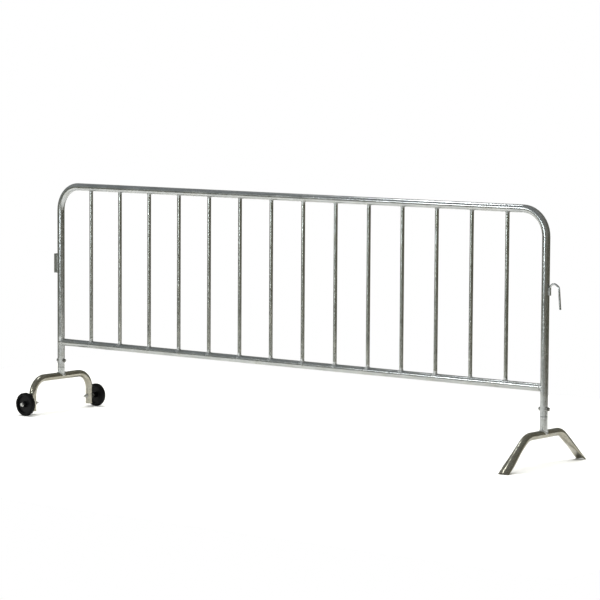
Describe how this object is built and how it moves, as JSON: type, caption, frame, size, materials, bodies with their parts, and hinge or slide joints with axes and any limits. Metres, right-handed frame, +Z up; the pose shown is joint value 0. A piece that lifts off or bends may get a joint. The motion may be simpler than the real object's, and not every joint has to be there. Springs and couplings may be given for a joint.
{
  "type": "crowd control barrier",
  "caption": "Galvanised steel crowd control barrier: bent tube frame with upright pickets, a bridge foot at one end, a wheeled bridge at the other, a coupling hook and a sleeve.",
  "frame": {"origin": "on the ground, under the middle of the barrier's bounding box", "axes": "+X along the barrier from the wheel end to the foot end, +Y across it, +Z up"},
  "size_m": [2.6828, 0.5618, 1.016],
  "materials": {
    "galvanised_steel": "hot-dip galvanised",
    "zinc_weld": "rough zinc-sprayed weld",
    "zinc_fastener": "bright zinc plated",
    "black_rubber": "matt",
    "black_plastic": "satin"
  },
  "bodies": {
    "barrier": {"frame_tube": "galvanised_steel", "bottom_rail": "galvanised_steel", "picket_01": "galvanised_steel", "picket_02": "galvanised_steel", "picket_03": "galvanised_steel", "picket_04": "galvanised_steel", "picket_05": "galvanised_steel", "picket_06": "galvanised_steel", "picket_07": "galvanised_steel", "picket_08": "galvanised_steel", "picket_09": "galvanised_steel", "picket_10": "galvanised_steel", "picket_11": "galvanised_steel", "picket_12": "galvanised_steel", "picket_13": "galvanised_steel", "picket_14": "galvanised_steel", "hook_rod": "galvanised_steel", "hook_weld": "zinc_weld", "hook_sleeve": "galvanised_steel", "foot_stub": "galvanised_steel", "foot_bridge": "galvanised_steel", "foot_post_bolt": "zinc_fastener", "foot_post_washers": "zinc_fastener", "foot_post_nut": "zinc_fastener", "wheel_stub": "galvanised_steel", "wheel_bridge": "galvanised_steel", "wheel_post_bolt": "zinc_fastener", "wheel_post_washers": "zinc_fastener", "wheel_post_nut": "zinc_fastener", "near_axle_bolt": "zinc_fastener", "near_axle_washers": "zinc_fastener", "near_axle_spacer": "zinc_fastener", "near_axle_nut": "zinc_fastener", "far_axle_bolt": "zinc_fastener", "far_axle_washers": "zinc_fastener", "far_axle_spacer": "zinc_fastener", "far_axle_nut": "zinc_fastener"},
    "near_wheel": {"near_wheel_tyre": "black_rubber", "near_wheel_core": "black_plastic", "near_wheel_bush": "zinc_fastener"},
    "far_wheel": {"far_wheel_tyre": "black_rubber", "far_wheel_core": "black_plastic", "far_wheel_bush": "zinc_fastener"}
  },
  "joints": [
    {"name": "near_wheel_spin", "type": "hinge", "parent": "barrier", "child": "near_wheel", "pos_m": [-1.29063, -0.228, 0.0508], "axis": [0, 1, 0], "continuous": true},
    {"name": "far_wheel_spin", "type": "hinge", "parent": "barrier", "child": "far_wheel", "pos_m": [-1.29063, 0.228, 0.0508], "axis": [0, 1, 0], "continuous": true}
  ]
}
